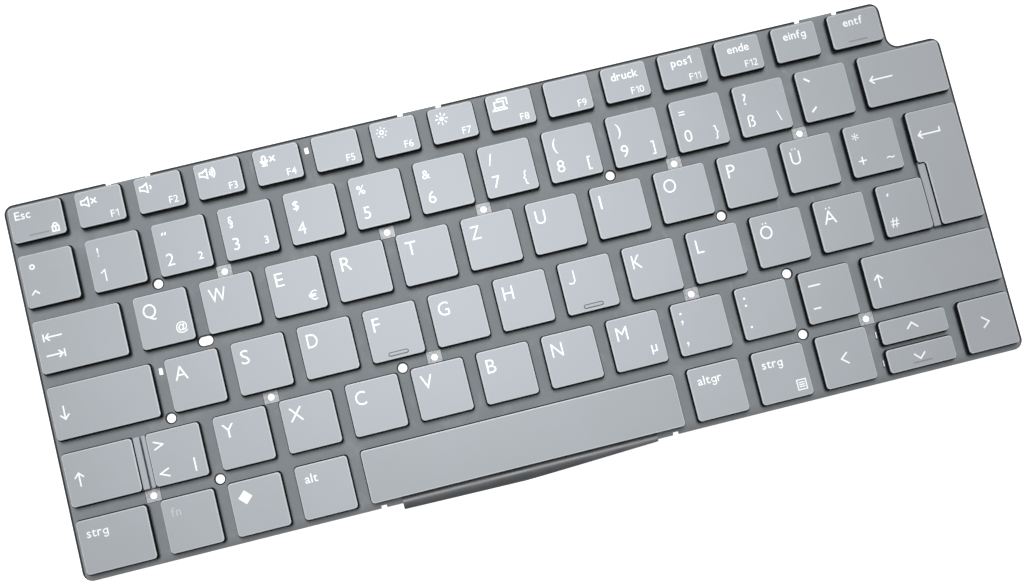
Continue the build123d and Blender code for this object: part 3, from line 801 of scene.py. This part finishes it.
def add_plain_cap(bm, name, low, high):
    """Rectangular cap with its legends."""
    add_cap(bm, [(low.x, low.y), (high.x, low.y), (high.x, high.y), (low.x, high.y)], low.z, high.z)
    add_legends(bm, name, low, high)


def add_ledge_shade(bm, low, high, level):
    """Dark strip at the foot of the step between a cap's top and its ledge, over a rectangle on the ledge: a
    painted shade where the higher part shades the ledge.
    """
    start = Vector((*low, level - STEP_SHADE_RISE))
    add_block(bm, start, Vector((*high, level + STEP_SHADE_RISE)), SHADED_WALL, STEP_SHADE_RISE / 4)


def add_enter_cap(bm, low, high):
    """Tall cap, narrow in front, with a ledge that fills the narrow half's left side."""
    step_x = low.x + ENTER_LEDGE
    step_y = high.y - ENTER_UPPER
    corners = [
        (step_x, low.y), (high.x, low.y), (high.x, high.y), (low.x, high.y), (low.x, step_y),
        (step_x, step_y),
    ]
    add_cap(bm, corners, low.z, high.z)
    ledge_high = Vector((step_x + CAP_WALL / 2, step_y + CAP_WALL / 2, high.z - LEDGE_DROP))
    add_block(bm, low, ledge_high, TOP, TOP_EDGE)
    add_ledge_shade(bm, (step_x - STEP_SHADE_WIDTH, low.y), (step_x, step_y), ledge_high.z)
    add_ledge_shade(bm, (low.x, step_y - STEP_SHADE_WIDTH), (step_x, step_y), ledge_high.z)
    add_legends(bm, "enter", low, high)


def make_moving_cap(name):
    """The cap of one key that presses."""
    low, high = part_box("key_" + name)
    bm = bmesh.new()
    if name == "enter":
        add_enter_cap(bm, low, high)
    elif name == "shift_left":
        edge = high.x - SHIFT_LEDGE
        ledge_low = Vector((edge - CAP_WALL, low.y, low.z))
        add_block(bm, ledge_low, high - Vector((0, 0, LEDGE_DROP)), TOP, TOP_EDGE)
        add_ledge_shade(bm, (edge, low.y), (edge + STEP_SHADE_WIDTH, high.y), high.z - LEDGE_DROP)
        add_plain_cap(bm, name, low, Vector((edge, high.y, high.z)))
    elif name == "angle":
        edge = low.x + ANGLE_LEDGE
        add_block(bm, low, Vector((edge + CAP_WALL, high.y, high.z - LEDGE_DROP)), TOP, TOP_EDGE)
        add_ledge_shade(bm, (edge - STEP_SHADE_WIDTH, low.y), (edge, high.y), high.z - LEDGE_DROP)
        add_plain_cap(bm, name, Vector((edge, low.y, low.z)), high)
    else:
        add_plain_cap(bm, name, low, high)
    if name == "space":
        # The front wall stays upright, so that the pressed cap clears the flap
        front = [v for v in bm.verts if v.co.z < low.z + NEAR and v.co.y < (low.y + high.y) / 2]
        bmesh.ops.translate(bm, verts=front, vec=(0, CAP_FLARE, 0))
    materials = [space_top, *cap_materials[1:]] if name == "space" else cap_materials
    return finish_piece(bm, "cap_" + name, materials, "key_" + name, "keycap", "key_" + name)


def make_still_row(node, names, piece):
    """A row of caps that share one node."""
    bm = bmesh.new()
    for name, (low, high) in zip(names, solid_boxes(node)):
        add_plain_cap(bm, name, low, high)
    return finish_piece(bm, piece, cap_materials, "base", "keycap", node)


# Domes and links
mechanism_materials = [dome_rubber, link_plastic]
LINK = mechanism_materials.index(link_plastic)


def add_dome(bm, low, high):
    """Round rubber cup: a flange on the film, a sloping wall and a thick plunger under the cap."""
    foot = (high.x - low.x) / 2
    height = high.z - low.z
    profile = [(1.0, 0.0), (1.0, 0.06), (0.86, 0.1), (0.62, 0.62), (0.52, 0.72), (0.5, 1.0), (0.0, 1.0)]
    centre = Vector(((low.x + high.x) / 2, (low.y + high.y) / 2, low.z))
    verts = [bm.verts.new(centre + Vector((foot * out, 0, height * up))) for out, up in profile]
    edges = [bm.edges.new(pair) for pair in zip(verts, verts[1:])]
    faces_before = set(bm.faces)
    bmesh.ops.spin(
        bm, geom=verts + edges, cent=centre, axis=(0, 0, 1), angle=2 * pi, steps=DOME_STEPS, use_merge=True
    )
    faces = [f for f in bm.faces if f not in faces_before]
    ring = list({v for f in faces for v in f.verts})
    bmesh.ops.remove_doubles(bm, verts=ring, dist=MERGE)
    faces = [f for f in bm.faces if f not in faces_before]
    bmesh.ops.recalc_face_normals(bm, faces=faces)
    for face in faces:
        face.smooth = True


def add_link(bm, low, high, rises):
    """U-shaped link with its cross bar on the film, rising to the back (1) or to the front (-1)."""
    rise = high.z - low.z - LINK_THICKNESS
    run = high.y - low.y
    tilt = rises * atan2(rise, run)
    length = hypot(rise, run)
    middle = Matrix.Translation((low + high) / 2) @ Matrix.Rotation(tilt, 4, "X")
    half_width = (high.x - low.x) / 2
    arm = (LINK_BAR, length, LINK_THICKNESS)
    bars = [
        ((0, -rises * (length - LINK_BAR) / 2, 0), (2 * half_width, LINK_BAR, LINK_THICKNESS)),
        ((half_width - LINK_BAR / 2, 0, 0), arm),
        ((LINK_BAR / 2 - half_width, 0, 0), arm),
    ]
    for place, size in bars:
        matrix = middle @ Matrix.Translation(place) @ Matrix.Diagonal((*size, 1))
        verts = bmesh.ops.create_cube(bm, size=1, matrix=matrix)["verts"]
        edges = list({e for v in verts for e in v.link_edges})
        rounded = bmesh.ops.bevel(
            bm, geom=edges, offset=LINK_EDGE, affect="EDGES", segments=1, profile=0.5, material=-1
        )
        paint(rounded["verts"], LINK)


def add_pivot(bm, outer, inner):
    """Pins on which the two links of a key cross."""
    for side in (-1, 1):
        first = side * (outer[1].x - outer[0].x) / 2
        last = side * ((inner[1].x - inner[0].x) / 2 - LINK_BAR)
        middle = (outer[0] + outer[1]) / 2 + Vector(((first + last) / 2, 0, 0))
        turn = Matrix.Rotation(pi / 2, 4, "Y")
        pin = bmesh.ops.create_cone(
            bm, cap_ends=True, segments=PIN_STEPS, radius1=PIN_RADIUS, radius2=PIN_RADIUS,
            depth=abs(first - last), matrix=Matrix.Translation(middle) @ turn,
        )
        paint(pin["verts"], LINK)


def inside(boxes, low, high):
    """The one box of a list whose middle lies under a cap, or nothing."""
    for found in boxes:
        middle = (found[0] + found[1]) / 2
        if low.x < middle.x < high.x and low.y < middle.y < high.y:
            return found
    return None


dome_boxes = solid_boxes("rubber_domes")
outer_boxes = solid_boxes("scissor_outer_links")
inner_boxes = solid_boxes("scissor_inner_links")
MECHANISM_NODES = ("rubber_domes", "scissor_outer_links", "scissor_inner_links")


def make_mechanism(name):
    """Dome and crossed links of one key."""
    low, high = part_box("key_" + name)
    dome = inside(dome_boxes, low, high)
    outer = inside(outer_boxes, low, high)
    inner = inside(inner_boxes, low, high)
    bm = bmesh.new()
    add_dome(bm, *dome)
    add_link(bm, *outer, 1)
    add_link(bm, *inner, -1)
    add_pivot(bm, outer, inner)
    piece = finish_piece(
        bm, "mechanism_" + name, mechanism_materials, "base", "dome", *MECHANISM_NODES
    )
    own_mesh(piece)


def make_still_domes():
    """Domes under the rows that share a node."""
    bm = bmesh.new()
    front_of_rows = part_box("number_row_keys")[0].y
    for low, high in dome_boxes:
        if low.y > front_of_rows:
            add_dome(bm, low, high)
    finish_piece(bm, "still_row_domes", [dome_rubber], "base", "dome", "rubber_domes")


# Film windows and hooks
def gap_place(gap, units):
    """Place on the film behind a row, level with the gap after so many pitches from the left."""
    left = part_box("key_tab")[0].x
    space_low, space_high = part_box("key_space")
    y = (space_low.y + space_high.y) / 2 + (gap + 0.5) * PITCH
    return Vector((left + units * PITCH - KEY_GAP / 2, y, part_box("switch_film")[1].z))


def window_patch(border, rise):
    """Flat mesh about its middle, a window's size and a border round it, with a round hole."""
    curve = bpy.data.curves.new("patch", "CURVE")
    curve.dimensions = "2D"
    curve.fill_mode = "BOTH"
    curve.extrude = rise
    frame_line = curve.splines.new("POLY")
    frame_line.points.add(3)
    for point, (x, y) in zip(frame_line.points, [(-1, -1), (1, -1), (1, 1), (-1, 1)]):
        point.co = (x * (WINDOW_LENGTH / 2 + border), y * (WINDOW_DEPTH / 2 + border), 0, 1)
    hole = curve.splines.new("BEZIER")
    hole.bezier_points.add(3)
    for point, (x, y) in zip(hole.bezier_points, [(1, 0), (0, 1), (-1, 0), (0, -1)]):
        point.co = (x * PEG_HOLE / 2, y * PEG_HOLE / 2, 0)
        point.handle_left_type = "AUTO"
        point.handle_right_type = "AUTO"
    hole.resolution_u = 8
    for spline in (frame_line, hole):
        spline.use_cyclic_u = True
    return curve_mesh(curve)


def make_windows():
    """All unprinted patches of the switch film, each over a dark patch that shows as a line round it."""
    bm = bmesh.new()
    patches = [window_patch(0, PATCH_THICKNESS / 2), window_patch(WINDOW_LINE, PATCH_THICKNESS / 4)]
    for index, patch in enumerate(patches):
        for gap, places in WINDOW_GAPS.items():
            for units in places:
                copy = patch.copy()
                copy.transform(Matrix.Translation(gap_place(gap, units)))
                first = len(bm.faces)
                bm.from_mesh(copy)
                bm.faces.ensure_lookup_table()
                for face in bm.faces[first:]:
                    face.material_index = index
                bpy.data.meshes.remove(copy)
    finish_piece(bm, "film_windows", [window_material(), plate_coat], "base", "film")


def add_collar(bm, place, length):
    """Rim of the film round a screw hole: a flat ring, drawn out to a length over a slot."""
    ring = bmesh.new()
    inner = SCREW_HOLE / 2 + COLLAR_GAP
    ends = [ring.verts.new((0, r, PATCH_THICKNESS)) for r in (inner, inner + COLLAR_WIDTH)]
    line = ring.edges.new(ends)
    bmesh.ops.spin(
        ring, geom=[*ends, line], cent=(0, 0, 0), axis=(0, 0, 1), angle=2 * pi, steps=COLLAR_STEPS,
        use_merge=True,
    )
    for side in (-1, 1):
        half = [v for v in ring.verts if v.co.x * side > NEAR]
        bmesh.ops.translate(ring, verts=half, vec=(side * (length - SCREW_HOLE) / 2, 0, 0))
    bmesh.ops.recalc_face_normals(ring, faces=ring.faces)
    for face in ring.faces:
        if face.normal.z < 0:
            face.normal_flip()
    bmesh.ops.translate(ring, verts=ring.verts, vec=place)
    join_part(bm, ring)


def make_collars():
    """Rims of the film round all screw holes and the slot."""
    bm = bmesh.new()
    for gap, units, side in [*SCREW_GAPS, SLOT_GAP]:
        length = SLOT_LENGTH if (gap, units, side) == SLOT_GAP else SCREW_HOLE
        add_collar(bm, gap_place(gap, units) + Vector((0, side * SCREW_SHIFT, 0)), length)
    finish_piece(bm, "film_collars", [film], "base", "film")


def make_arrow_hooks():
    """Small steel tabs that hold the links of the two half-depth arrow keys."""
    bm = bmesh.new()
    for name in ("arrow_up", "arrow_down"):
        low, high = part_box("key_" + name)
        size = Vector(ARROW_HOOK)
        x = low.x - ARROW_HOOK_GAP - size.x
        start = Vector((x, (low.y + high.y - size.y) / 2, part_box("switch_film")[1].z))
        add_block(bm, start, start + size, 0, LINK_EDGE / 2)
    finish_piece(bm, "arrow_key_hooks", [steel], "base", "wire")


steel = wire_material()
film = film_material()
moving_names = [node[len("key_"):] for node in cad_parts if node.startswith("key_")]
caps = [make_moving_cap(key_name) for key_name in moving_names]
caps.append(make_still_row("number_row_keys", NUMBER_NAMES, "number_row_caps"))
caps.append(make_still_row("function_row_keys", FUNCTION_NAMES, "function_row_caps"))
for key_name in moving_names:
    make_mechanism(key_name)
make_still_domes()
make_windows()
make_collars()
make_arrow_hooks()


def dress(node, material):
    """Gives a node of the frame its finish."""
    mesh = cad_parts[node].data
    mesh.materials.clear()
    mesh.materials.append(material)


dress("base_plate", plate_coat)
dress("switch_film", film)
dress("front_film_flap", flap_film)
dress("space_stabiliser_wire", steel)


# Stage, light and camera
FLOOR_SIZE = 3.0
FLOOR_GLOW = 0.75                 # of the floor as the camera sees it, so that it stays white
SOFTBOX_PLACE = (0, 0.3, 1.0)     # the way the wide light comes from
SOFTBOX_SPREAD = 30               # its width in degrees, for soft shadows
CAP_LIGHT = 1.2                   # strength of the wide light on the caps
BASE_LIGHT = 2.2                  # and on all else
OVERHEAD_PLACE = (-0.02, 0.03, 0.18)
OVERHEAD_SIZE = 0.1
OVERHEAD_POWER = 0.18
OVERHEAD_COLOUR = (0.93, 1.0, 0.98)
ROOM_LIGHT = 0.12                 # strength of the surroundings where they only light things


def seen_mask(tree):
    """One for what the camera sees, straight, in a gloss or through a clear piece, and zero for the rest."""
    ray = add_node(tree, "LightPath").outputs
    bare = combined(tree, ray["Is Camera Ray"], ray["Is Glossy Ray"], "MAXIMUM")
    return combined(tree, bare, ray["Is Transmission Ray"], "MAXIMUM")


def make_floor():
    """Plain white floor, which keeps the object's soft shadow."""
    bm = bmesh.new()
    bmesh.ops.create_grid(bm, x_segments=1, y_segments=1, size=FLOOR_SIZE)
    mesh = bpy.data.meshes.new("floor")
    bm.to_mesh(mesh)
    bm.free()
    material, tree, shader = new_material("white_floor")
    shader.inputs["Base Color"].default_value = (0.85, 0.85, 0.85, 1)
    shader.inputs["Roughness"].default_value = 0.9
    shader.inputs["Emission Color"].default_value = (1, 1, 1, 1)
    glow = combined(tree, seen_mask(tree), FLOOR_GLOW, "MULTIPLY")
    tree.links.new(glow, shader.inputs["Emission Strength"])
    mesh.materials.append(material)
    floor = bpy.data.objects.new("floor", mesh)
    scene.collection.objects.link(floor)


def place_lamp(lamp, place, aim, pieces):
    """Sets a lamp up, turned to a point. It lights only the pieces, and all things throw its shadows."""
    holder = bpy.data.objects.new(lamp.name, lamp)
    holder.location = place
    holder.rotation_euler = (aim - place).to_track_quat("-Z", "Y").to_euler()
    holder.visible_camera = False
    scene.collection.objects.link(holder)
    lit = bpy.data.collections.new(lamp.name + "_lights")
    for piece in pieces:
        lit.objects.link(piece)
    holder.light_linking.receiver_collection = lit


def make_softbox(name, strength, pieces):
    """Far wide light, the same all over the board, from above and a little behind."""
    lamp = bpy.data.lights.new(name, "SUN")
    lamp.energy = strength
    lamp.angle = radians(SOFTBOX_SPREAD)
    place_lamp(lamp, Vector(SOFTBOX_PLACE), Vector(), pieces)


def make_overhead(pieces):
    """Near square light straight above, which makes the middle brighter than the ends."""
    lamp = bpy.data.lights.new("overhead", "AREA")
    lamp.shape = "SQUARE"
    lamp.size = OVERHEAD_SIZE
    lamp.energy = OVERHEAD_POWER
    lamp.color = OVERHEAD_COLOUR
    place = Vector(OVERHEAD_PLACE)
    place_lamp(lamp, place, Vector((place.x, place.y, 0)), pieces)


def make_world():
    """Even pale surroundings, white where the camera or a gloss sees them."""
    world = bpy.data.worlds.new("studio")
    world.use_nodes = True
    tree = world.node_tree
    backdrop = tree.nodes["Background"]
    strength = graded(tree, seen_mask(tree), 0.0, 1.0, ROOM_LIGHT, 1.0)
    backdrop.inputs["Color"].default_value = (1, 1, 1, 1)
    tree.links.new(strength, backdrop.inputs["Strength"])
    scene.world = world


CAMERA_PLACE = Vector((-26.6, -38.0, 411.4)) * MM
CAMERA_TURN = Euler((radians(5.468), radians(-2.099), radians(-13.922)))
CAMERA_SENSOR = 36.0
CAMERA_LENS = 50.5


def make_camera():
    """Camera that looks down on the board, turned a little about its own axis."""
    camera = bpy.data.cameras.new("camera")
    camera.sensor_fit = "HORIZONTAL"
    camera.sensor_width = CAMERA_SENSOR
    camera.lens = CAMERA_LENS
    camera.clip_start = 0.01
    holder = bpy.data.objects.new("camera", camera)
    holder.location = CAMERA_PLACE
    holder.rotation_euler = CAMERA_TURN
    scene.collection.objects.link(holder)
    scene.camera = holder


make_floor()
others = [piece for piece in scene.objects if piece.type == "MESH" and piece not in caps]
make_softbox("cap_softbox", CAP_LIGHT, caps)
make_softbox("base_softbox", BASE_LIGHT, others)
make_overhead(caps)
make_world()
make_camera()
scene.view_settings.view_transform = "Standard"
